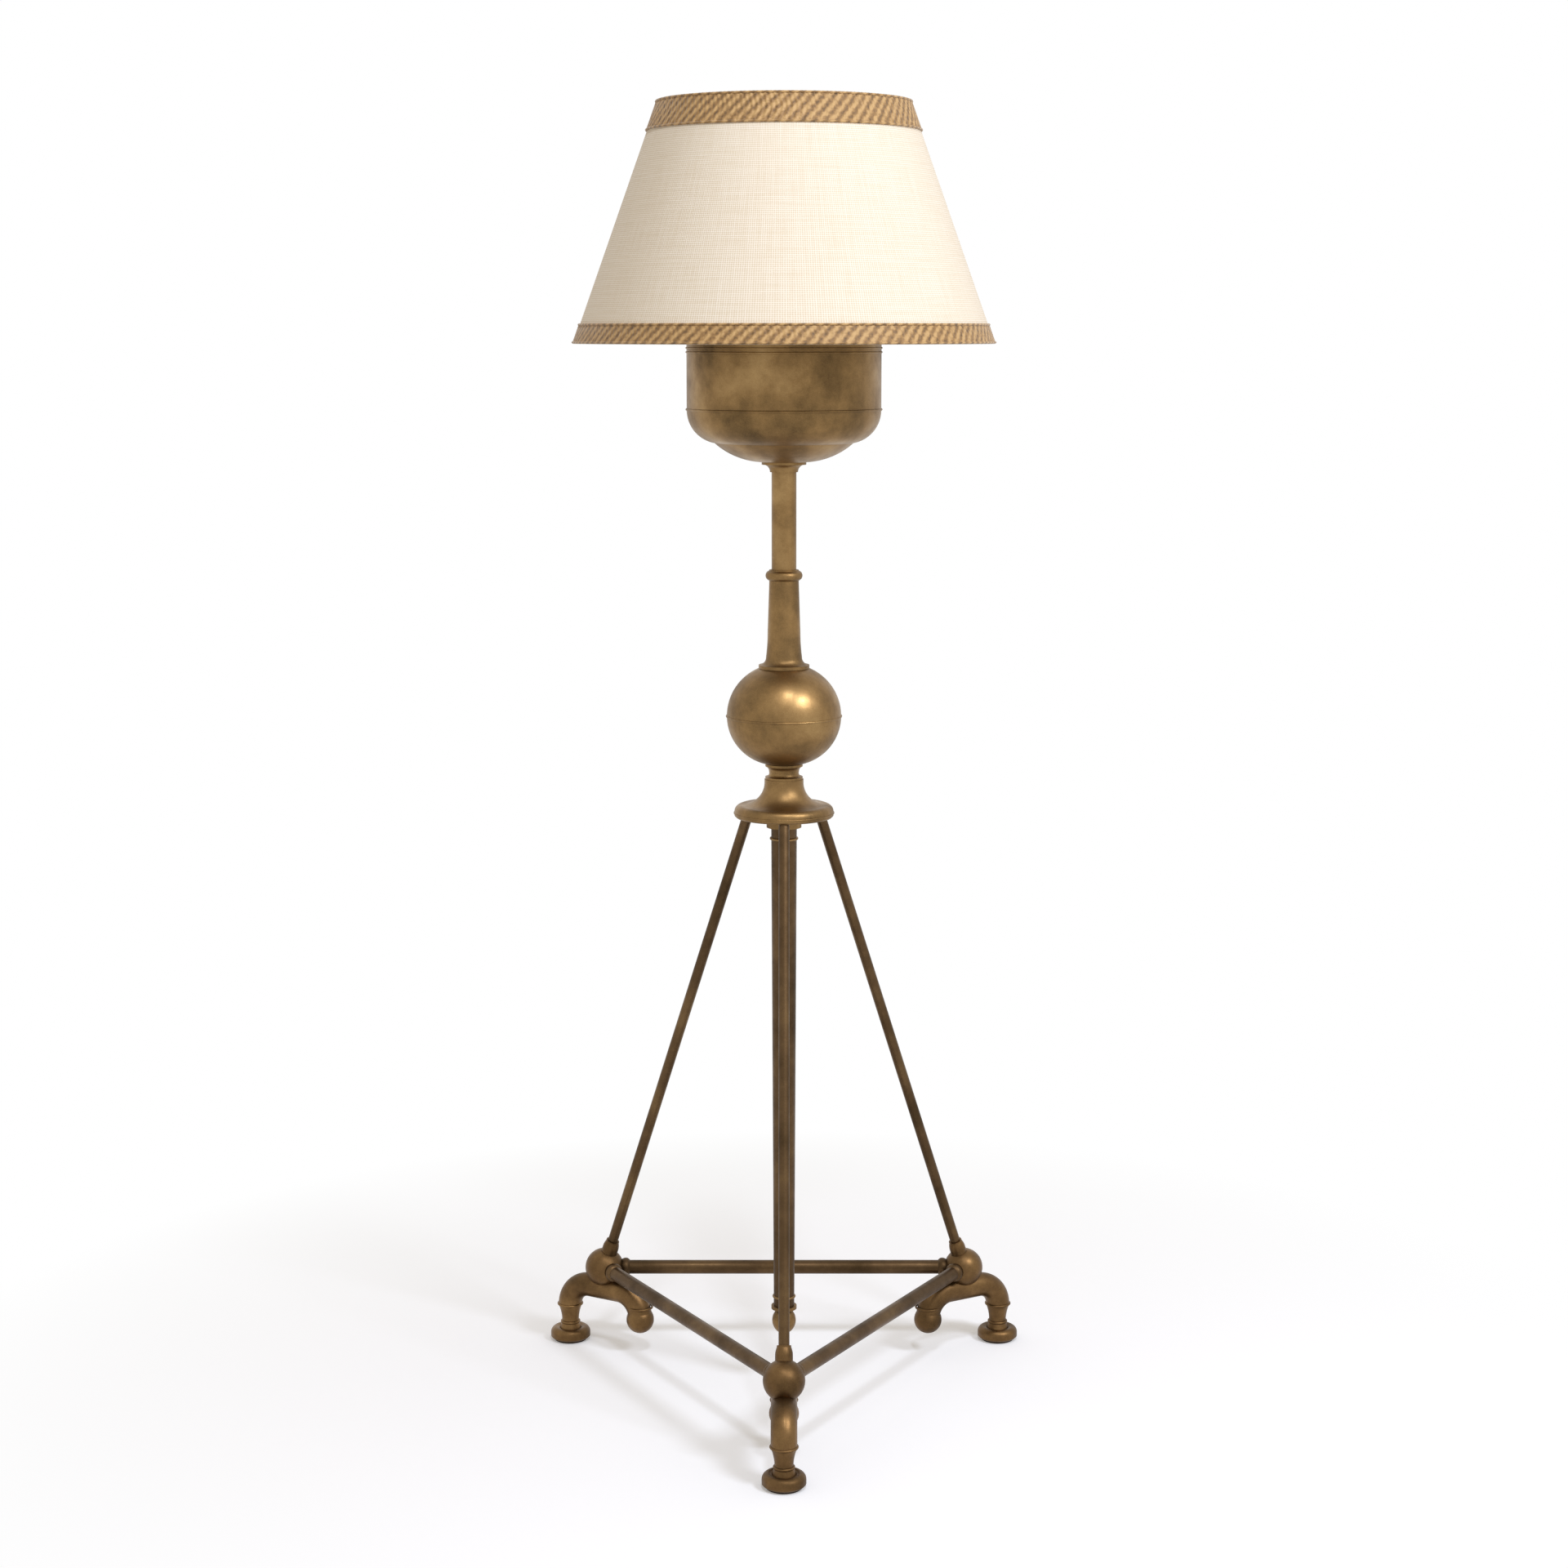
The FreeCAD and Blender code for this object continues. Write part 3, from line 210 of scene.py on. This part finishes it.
def waveScale(spacing):
    # a wave of scale 1 has 20 radians a metre
    return fullTurn / (20 * spacing * mm)


patina = {
    "blotch": 71.43,        # patches of darker wax
    "grain": 1.1111,        # the sand-cast skin under the polish
    "grainShare": 0.22,     # how much the grain shows in the colour
    "lathe": 14.96,         # rings left by the lathe; real ones are finer, drawn wide to show
    "latheShare": 0.5,
    "rubbed": 0.3,          # roughness where the wax is rubbed bright
    "dull": 0.52,           # and where it lies thick
    "relief": 0.16,
    "depth": 0.6,
}


def agedBrass(name, dark, middle, light, rings):
    # cast or turned brass, browned with acid, rubbed back and waxed: warm, soft gloss
    material, tree, shader, place = newFinish(name, Metallic=1.0)
    blotch = addNode(tree, "ShaderNodeTexNoise",
                     {"Scale": 1000 / patina["blotch"], "Detail": 6.0, "Roughness": 0.62},
                     {"Vector": place.outputs["Object"]})
    grain = addNode(tree, "ShaderNodeTexNoise",
                    {"Scale": 1000 / patina["grain"], "Detail": 3.0, "Roughness": 0.6},
                    {"Vector": place.outputs["Object"]})
    tone = addNode(tree, "ShaderNodeMath",
                   {"operation": "MULTIPLY_ADD", 1: patina["grainShare"]},
                   {0: grain.outputs["Fac"], 2: blotch.outputs["Fac"]})
    colour = addNode(tree, "ShaderNodeValToRGB", None, {"Fac": tone.outputs[0]},
                     ((0.34, dark), (0.62, middle), (0.95, light)))
    rough = addNode(tree, "ShaderNodeMapRange", {
        "From Min": 0.35, "From Max": 0.7,
        "To Min": patina["dull"], "To Max": patina["rubbed"]},
        {"Value": blotch.outputs["Fac"]})
    height = grain.outputs["Fac"]
    if rings:
        lathe = addNode(tree, "ShaderNodeTexWave", {
            "wave_type": "BANDS", "bands_direction": "Z", "Scale": waveScale(patina["lathe"]),
            "Distortion": 0.6, "Detail": 2.0, "Detail Scale": 0.4},
            {"Vector": place.outputs["Object"]})
        height = addNode(tree, "ShaderNodeMath",
                         {"operation": "MULTIPLY_ADD", 1: patina["latheShare"]},
                         {0: lathe.outputs["Fac"], 2: height}).outputs[0]
    bump = addNode(tree, "ShaderNodeBump",
                   {"Strength": patina["relief"], "Distance": patina["depth"] * mm},
                   {"Height": height})
    feed(tree, shader, {"Base Color": colour.outputs["Color"], "Roughness": rough.outputs[0],
                        "Normal": bump.outputs["Normal"]})
    return material


turnedBrass = agedBrass("antiqueBrassTurned", "#4f3f2a", "#8a6d46", "#b59565", True)
castBrass = agedBrass("antiqueBrassCast", "#3b2d1c", "#695033", "#96764c", False)
rodBrass = agedBrass("antiqueBrassDrawn", "#3b2d1c", "#5a4630", "#7c6342", False)


scratches = {
    "size": 3.125,          # a patch of fine scratches
    "smoother": 0.08,       # how far the roughness falls between them
    "rougher": 0.1,
    "depth": 0.3,
}


def cleanMetal(name, colour, roughness, scratch):
    # rolled or drawn metal with fine scratches from handling
    material, tree, shader, place = newFinish(
        name, Metallic=1.0, Base_Color=toLinear(colour))
    noise = addNode(tree, "ShaderNodeTexNoise",
                    {"Scale": 1000 / scratches["size"], "Detail": 4.0},
                    {"Vector": place.outputs["Object"]})
    spread = addNode(tree, "ShaderNodeMapRange", {
        "To Min": roughness - scratches["smoother"], "To Max": roughness + scratches["rougher"]},
        {"Value": noise.outputs["Fac"]})
    bump = addNode(tree, "ShaderNodeBump",
                   {"Strength": scratch, "Distance": scratches["depth"] * mm},
                   {"Height": noise.outputs["Fac"]})
    feed(tree, shader, {"Roughness": spread.outputs[0], "Normal": bump.outputs["Normal"]})
    return material


# pressed brass under lacquer: yellow and bright; plated wire: grey; rolled cap: pale, soft
lacqueredBrass = cleanMetal("lacqueredBrass", "#c9a45c", 0.26, 0.08)
zincPlate = cleanMetal("zincPlatedSteel", "#b9bab8", 0.34, 0.12)
rolledAluminium = cleanMetal("rolledAluminium", "#c9c9c8", 0.3, 0.1)

speckleDepth = 0.4          # mm of the relief that the bump's strength takes its share of


def speckled(name, low, high, roughness, size, relief, **more):
    # a stuff whose tone wanders a little over its grain, of this size in mm
    material, tree, shader, place = newFinish(name, Roughness=roughness, **more)
    noise = addNode(tree, "ShaderNodeTexNoise", {"Scale": 1000 / size, "Detail": 5.0},
                    {"Vector": place.outputs["Object"]})
    colour = addNode(tree, "ShaderNodeValToRGB", None, {"Fac": noise.outputs["Fac"]},
                     ((0.3, low), (0.7, high)))
    bump = addNode(tree, "ShaderNodeBump", {"Strength": relief, "Distance": speckleDepth * mm},
                   {"Height": noise.outputs["Fac"]})
    feed(tree, shader, {"Base Color": colour.outputs["Color"], "Normal": bump.outputs["Normal"]})
    return material


# pressed wool: dark, fuzzy, no gloss
brownFelt = speckled("pressedBrownFelt", "#2a2018", "#3c2e22", 0.95, 0.6667, 0.6,
                     Sheen_Weight=0.3)
# moulded resin: near black, half glossy
blackPhenolic = speckled("mouldedPhenolic", "#15130f", "#24211c", 0.32, 2.0, 0.05)
# pressed paper fibre: tan and dull
brownCard = speckled("insulatingCard", "#8a7350", "#a08a63", 0.85, 1.4286, 0.3)
# bulb glass etched inside: milky under a smooth skin
frostedGlass = speckled("acidFrostedGlass", "#efeee8", "#f7f6f1", 0.38, 16.667, 0.02,
                        Coat_Weight=0.35, Coat_Roughness=0.3)


weave = {
    "thread": 2.4,          # mm between threads; real linen has 0.5, drawn coarser to show
    "wander": 1.1,          # how unevenly the threads run
    "slubWide": 3.5,        # mm, a thick place in a thread
    "slubLong": 58.33,
    "relief": 0.35,
    "depth": 0.5,           # mm
}


def linenCloth(name, low, middle, high):
    # plain-woven linen glued to a stiff backing: slubby threads, no gloss
    material, tree, shader, place = newFinish(name, Roughness=0.88, Sheen_Weight=0.15)
    across, along = 1000 / weave["slubWide"], 1000 / weave["slubLong"]
    threads = []
    for way, stretch in (("X", (across, along, across)), ("Y", (along, across, across))):
        wave = addNode(tree, "ShaderNodeTexWave", {
            "wave_type": "BANDS", "bands_direction": way, "Scale": waveScale(weave["thread"]),
            "Distortion": weave["wander"], "Detail": 2.0, "Detail Scale": 1.6},
            {"Vector": place.outputs["UV"]})
        drawn = addNode(tree, "ShaderNodeMapping", {"Scale": stretch},
                        {"Vector": place.outputs["UV"]})
        slub = addNode(tree, "ShaderNodeTexNoise", {"Scale": 1.0, "Detail": 3.0},
                       {"Vector": drawn.outputs[0]})
        threads.append(addNode(tree, "ShaderNodeMath", {"operation": "MULTIPLY"},
                               {0: wave.outputs["Fac"], 1: slub.outputs["Fac"]}).outputs[0])
    cloth = addNode(tree, "ShaderNodeMath", {"operation": "ADD"}, dict(enumerate(threads)))
    colour = addNode(tree, "ShaderNodeValToRGB", None, {"Fac": cloth.outputs[0]},
                     ((0.15, low), (0.5, middle), (0.85, high)))
    bump = addNode(tree, "ShaderNodeBump",
                   {"Strength": weave["relief"], "Distance": weave["depth"] * mm},
                   {"Height": cloth.outputs[0]})
    feed(tree, shader, {"Base Color": colour.outputs["Color"], "Normal": bump.outputs["Normal"]})
    return material


shadeLinen = linenCloth("creamLinen", "#ddcfb6", "#ebe1cf", "#f6efe2")
# calendered paper on film: pale, smooth, hardly any gloss
shadeLining = speckled("stiffShadeLining", "#efe9dc", "#f8f4ea", 0.6, 11.111, 0.03)


gimp = {
    "rib": 9.8175,          # mm between the slanted ribs
    "slant": 45.0,          # degrees
    "ribShare": 0.45,
    "fuzz": 4.1667,         # mm, where the tape is worn duller
    "relief": 0.4,
    "depth": 0.6,           # mm
}


def wovenTape(name, low, middle, high):
    # rayon gimp braid: bright ribs and dark gaps, a little sheen
    material, tree, shader, place = newFinish(
        name, Roughness=0.55, Sheen_Weight=0.35, Specular_IOR_Level=0.4)
    slanted = addNode(tree, "ShaderNodeMapping",
                      {"Rotation": (0, 0, math.radians(gimp["slant"]))},
                      {"Vector": place.outputs["UV"]})
    ribs = addNode(tree, "ShaderNodeTexWave", {
        "wave_type": "BANDS", "Scale": waveScale(gimp["rib"]), "Distortion": 0.5},
        {"Vector": slanted.outputs[0]})
    noise = addNode(tree, "ShaderNodeTexNoise", {"Scale": 1000 / gimp["fuzz"], "Detail": 4.0},
                    {"Vector": place.outputs["Object"]})
    tone = addNode(tree, "ShaderNodeMath", {"operation": "MULTIPLY_ADD", 1: gimp["ribShare"]},
                   {0: ribs.outputs["Fac"], 2: noise.outputs["Fac"]})
    colour = addNode(tree, "ShaderNodeValToRGB", None, {"Fac": tone.outputs[0]},
                     ((0.35, low), (0.65, middle), (0.95, high)))
    bump = addNode(tree, "ShaderNodeBump",
                   {"Strength": gimp["relief"], "Distance": gimp["depth"] * mm},
                   {"Height": tone.outputs[0]})
    feed(tree, shader, {"Base Color": colour.outputs["Color"], "Normal": bump.outputs["Normal"]})
    return material


bronzeGimp = wovenTape("bronzeGimpBraid", "#664c2a", "#9a7646", "#c4a06a")

finishes = {
    "aged_brass": castBrass, "bright_brass": lacqueredBrass, "zinc_steel": zincPlate,
    "felt": brownFelt, "shade_fabric": shadeLinen, "shade_trim": bronzeGimp,
    "black_plastic": blackPhenolic, "card_liner": brownCard,
    "bulb_aluminium": rolledAluminium, "bulb_glass": frostedGlass,
}
turnedNodes = ("neck_spool", "ball_knop", "trumpet_neck", "upper_stem", "bowl_cup", "font_bowl",
               "font_lid", "lid_collar", "strut_hub", "column_drop", "finial")
rodNodes = ("strut_front", "strut_left", "strut_right", "centre_column",
            "tie_bar_back", "tie_bar_left", "tie_bar_right")
for row in frame["record"]["subparts"]:
    name = row["node"]
    finish = finishes[row["material_slot"]]
    if name in turnedNodes:
        finish = turnedBrass
    if name in rodNodes:
        finish = rodBrass
    finishSlots = nodes[name].data.materials
    finishSlots.clear()
    finishSlots.append(finish)
print("finishes on", len(nodes), "solids")


# helpers for new pieces

weldGap = 0.001             # mm


def finishPiece(mesh, name, body, material):
    bmesh.ops.recalc_face_normals(mesh, faces=mesh.faces)
    for face in mesh.faces:
        face.smooth = True
    data = bpy.data.meshes.new(name)
    mesh.to_mesh(data)
    mesh.free()
    data.materials.append(material)
    piece = bpy.data.objects.new(name, data)
    scene.collection.objects.link(piece)
    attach(piece, body)
    return piece


def spinRound(mesh, steps):
    # takes the section in the mesh once round the lamp's axis
    bmesh.ops.spin(mesh, geom=mesh.verts[:] + mesh.edges[:], cent=(0, 0, 0), axis=(0, 0, 1),
                   angle=fullTurn, steps=steps, use_merge=True)
    bmesh.ops.remove_doubles(mesh, verts=mesh.verts, dist=weldGap * mm)


def spunSection(points, steps):
    # points of a closed section, (radius, height) in mm
    mesh = bmesh.new()
    corners = [mesh.verts.new((r * mm, 0.0, z * mm)) for r, z in points]
    for pair in zip(corners, corners[1:] + corners[:1]):
        mesh.edges.new(pair)
    spinRound(mesh, steps)
    return mesh


def unwrapRound(mesh, radius):
    # u runs round the shade and v up it, both in metres
    layer = mesh.loops.layers.uv.new("clothUV")
    for face in mesh.faces:
        heart = face.calc_center_median()
        middle = math.atan2(heart.y, heart.x)
        for loop in face.loops:
            angle = math.atan2(loop.vert.co.y, loop.vert.co.x)
            angle += fullTurn * round((middle - angle) / fullTurn)
            loop[layer].uv = (angle * radius * mm, loop.vert.co.z)


# shade

shadeSizes = {              # mm
    "steps": 288,           # faces round the cloth
    "rows": 24,             # faces up it
    "cloth": 0.5,           # linen on the outside of the stiff lining
    "seamWidth": 12.0,      # glued overlap down the back
    "seamStep": 0.45,       # how far it stands proud
    "topRadius": 149.5,     # outside of the cloth at the top rim
    "lining": 0.45,
    "glue": 0.02,           # between the cloth and its lining
}

low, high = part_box("shade_cone")
shadeFoot, shadeTop = low[2] / mm, high[2] / mm
footRadius = high[0] / mm
slope = (footRadius - shadeSizes["topRadius"]) / (shadeTop - shadeFoot)


def coneAt(height, out=0.0):
    # radius of the shade's outer face at a height, both in mm
    return footRadius - (height - shadeFoot) * slope + out


def coneWall(foot, rise, rows, out):
    # points up the outer face from a foot's height, all in mm
    levels = [foot + rise * i / rows for i in range(rows + 1)]
    return [(coneAt(level, out), level) for level in levels]


cloth = shadeSizes["cloth"]
outside = coneWall(shadeFoot, shadeTop - shadeFoot, shadeSizes["rows"], 0.0)
inside = [(r - cloth, z) for r, z in reversed(outside)]
mesh = spunSection(outside + inside, shadeSizes["steps"])
seamTurn = shadeSizes["seamWidth"] / footRadius
for vert in mesh.verts:              # the overlap stands a little proud at the back
    turn = math.atan2(vert.co.x, vert.co.y)
    if 0 <= turn < seamTurn and vert.co.xy.length / mm > coneAt(vert.co.z / mm, -cloth / 2):
        vert.co.xy *= 1 + shadeSizes["seamStep"] * mm / vert.co.xy.length
unwrapRound(mesh, (footRadius + coneAt(shadeTop)) / 2)
shadeCloth = finishPiece(mesh, "shadeCloth", "shade", shadeLinen)
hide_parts("shade_cone")

outer = [(r - cloth - shadeSizes["glue"], z) for r, z in outside]
inner = [(r - shadeSizes["lining"], z) for r, z in reversed(outer)]
mesh = spunSection(outer + inner, shadeSizes["steps"])
finishPiece(mesh, "shadeBacking", "shade", shadeLining)

braidSizes = {              # mm
    "top": 34.0,            # height of the braid at each rim
    "bottom": 22.0,
    "margin": 1.0,          # cloth left showing at the rim
    "steps": 1008,          # faces round it
    "row": 2.0,             # height of a face
    "depth": 1.1,
    "gap": 0.05,            # between the cloth and the braid's back
    "pitch": 6.0,           # between the points of the gimp's zigzag
    "swing": 2.2,           # radians that the zigzag swings
    "ridge": 0.45,
}
edgeCord = {                # mm
    "radius": 1.5,
    "inset": 0.6,           # its heart from the braid's edge
    "pitch": 5.0,           # between its twists
    "sides": 8,
    "waist": 0.86,          # share of the radius between the two strands
    "swell": 0.16,
}

for edge in ("bottom", "top"):
    rise, depth = braidSizes[edge], braidSizes["depth"]
    base = shadeFoot + braidSizes["margin"]
    if edge == "top":
        base = shadeTop - braidSizes["margin"] - rise
    face = coneWall(base, rise, round(rise / braidSizes["row"]), depth)
    back = coneWall(base, rise, 1, braidSizes["gap"])
    mesh = spunSection(face + back[::-1], braidSizes["steps"])
    count = round(fullTurn * coneAt(base) / braidSizes["pitch"])
    for vert in mesh.verts:          # zigzag relief of the gimp
        height = (vert.co.z / mm - base) / rise
        if vert.co.xy.length / mm < coneAt(vert.co.z / mm, depth / 2) or not 0 < height < 1:
            continue
        turn = math.atan2(vert.co.y, vert.co.x) * count
        ridge = math.cos(turn + braidSizes["swing"] * math.cos(height * fullTurn))
        vert.co.xy *= 1 + braidSizes["ridge"] * mm * ridge / vert.co.xy.length
    unwrapRound(mesh, coneAt(base))
    braid = finishPiece(mesh, edge + "Braid", "shade", bronzeGimp)
    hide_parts(edge + "_trim")
    for side, level in (("Lower", base + edgeCord["inset"]),
                        ("Upper", base + rise - edgeCord["inset"])):
        radius = coneAt(level, depth)
        stood = (Matrix.Translation((radius * mm, 0, level * mm))
                 @ Matrix.Rotation(math.pi / 2, 4, "X"))
        mesh = bmesh.new()
        bmesh.ops.create_circle(mesh, segments=edgeCord["sides"],
                                radius=edgeCord["radius"] * mm, matrix=stood)
        spinRound(mesh, braidSizes["steps"])
        twists = round(fullTurn * radius / edgeCord["pitch"])
        for vert in mesh.verts:      # two strands twisted together
            angle = math.atan2(vert.co.y, vert.co.x)
            heart = Vector((math.cos(angle) * radius, math.sin(angle) * radius, level)) * mm
            out = vert.co - heart
            lean = math.atan2(out.z, vert.co.xy.length - radius * mm)
            strand = abs(math.cos(lean - angle * twists / 2))
            vert.co = heart + out * (edgeCord["waist"] + edgeCord["swell"] * strand)
        unwrapRound(mesh, radius)
        cord = finishPiece(mesh, edge + "Cord" + side, "shade", bronzeGimp)

print("shade ready")


# beads and grips on the metal

beads = {                   # mm
    "steps": 144,
    "sides": 8,             # faces round a half bead
    "sunk": 0.4,            # how far a bead's flat side lies inside its ring's radius
    # node, height above its foot, its radius there, the bead's own radius
    "turned": {
        "bowlFootBead": ("font_bowl", 63.0, 117.0, 1.5),
        "bowlLowerBead": ("font_bowl", 131.0, 117.0, 1.2),
        "bowlUpperBead": ("font_bowl", 136.0, 117.0, 1.2),
        "ballSeamBead": ("ball_knop", 59.0, 69.9, 1.3),
        "hubRimBead": ("strut_hub", 18.0, 60.9, 1.1),
        "columnNeckBead": ("centre_column", 600.0, 15.85, 1.8),
        "columnFootBead": ("centre_column", 12.0, 13.05, 1.6),
    },
    # each foot's beads: from the lamp's axis, height, the ring's radius, the bead's own radius;
    # the limb leans at the inner one, so that bead is partly buried and partly stands clear
    "limbs": {
        "AnkleBead": (327.0, 24.5, 11.2, 1.8),
        "OuterBead": (327.0, 49.0, 15.5, 1.6),
        "InnerBead": (217.0, 63.0, 15.5, 1.6),
    },
    "corners": {"front": -90, "right": 30, "left": 150},   # degrees
}


def beadRing(name, x, y, height, radius, bead, material):
    # a half-round bead round an upright axis
    turns = [math.pi * i / beads["sides"] for i in range(beads["sides"] + 1)]
    arc = [(radius + bead * math.sin(t), height - bead * math.cos(t)) for t in turns]
    buried = radius - beads["sunk"]
    mesh = spunSection(arc + [(buried, height + bead), (buried, height - bead)], beads["steps"])
    bmesh.ops.translate(mesh, verts=mesh.verts, vec=(x * mm, y * mm, 0.0))
    finishPiece(mesh, name, "stand", material)


for name, (node, rise, radius, bead) in beads["turned"].items():
    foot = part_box(node)[0][2] / mm
    beadRing(name, 0.0, 0.0, foot + rise, radius, bead, turnedBrass)
for corner, compass in beads["corners"].items():
    way = math.radians(compass)
    for name, (out, height, radius, bead) in beads["limbs"].items():
        beadRing(corner + name, out * math.cos(way), out * math.sin(way), height, radius,
                 bead, castBrass)

grip = {                    # mm, a ribbed sleeve on the switch key
    "ridges": 36,
    "length": 5.6,
    "inset": 1.2,           # from the key's outer end
    "radius": 7.15,
    "depth": 0.35,
    "wall": 0.6,
}
keyLow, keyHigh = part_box("switch_key")
mesh = bmesh.new()
bmesh.ops.create_cone(mesh, cap_ends=False, segments=grip["ridges"] * 2,
                      radius1=grip["radius"] * mm, radius2=grip["radius"] * mm,
                      depth=grip["length"] * mm)
pairs = sorted(mesh.verts, key=lambda v: (round(math.atan2(v.co.y, v.co.x), 4), v.co.z))
for number, vert in enumerate(pairs):    # every other pair of corners stands out
    if number // 2 % 2:
        vert.co.xy *= 1 + grip["depth"] / grip["radius"]
bmesh.ops.recalc_face_normals(mesh, faces=mesh.faces)
bmesh.ops.solidify(mesh, geom=mesh.faces[:], thickness=grip["wall"] * mm)
bmesh.ops.rotate(mesh, verts=mesh.verts, matrix=Matrix.Rotation(math.pi / 2, 3, "X"))
gripPlace = (keyLow + keyHigh) / 2
gripPlace.y = keyLow.y + (grip["length"] / 2 + grip["inset"]) * mm
bmesh.ops.translate(mesh, verts=mesh.verts, vec=gripPlace)
finishPiece(mesh, "keyGrip", "key", blackPhenolic)
print("beads and grip ready")
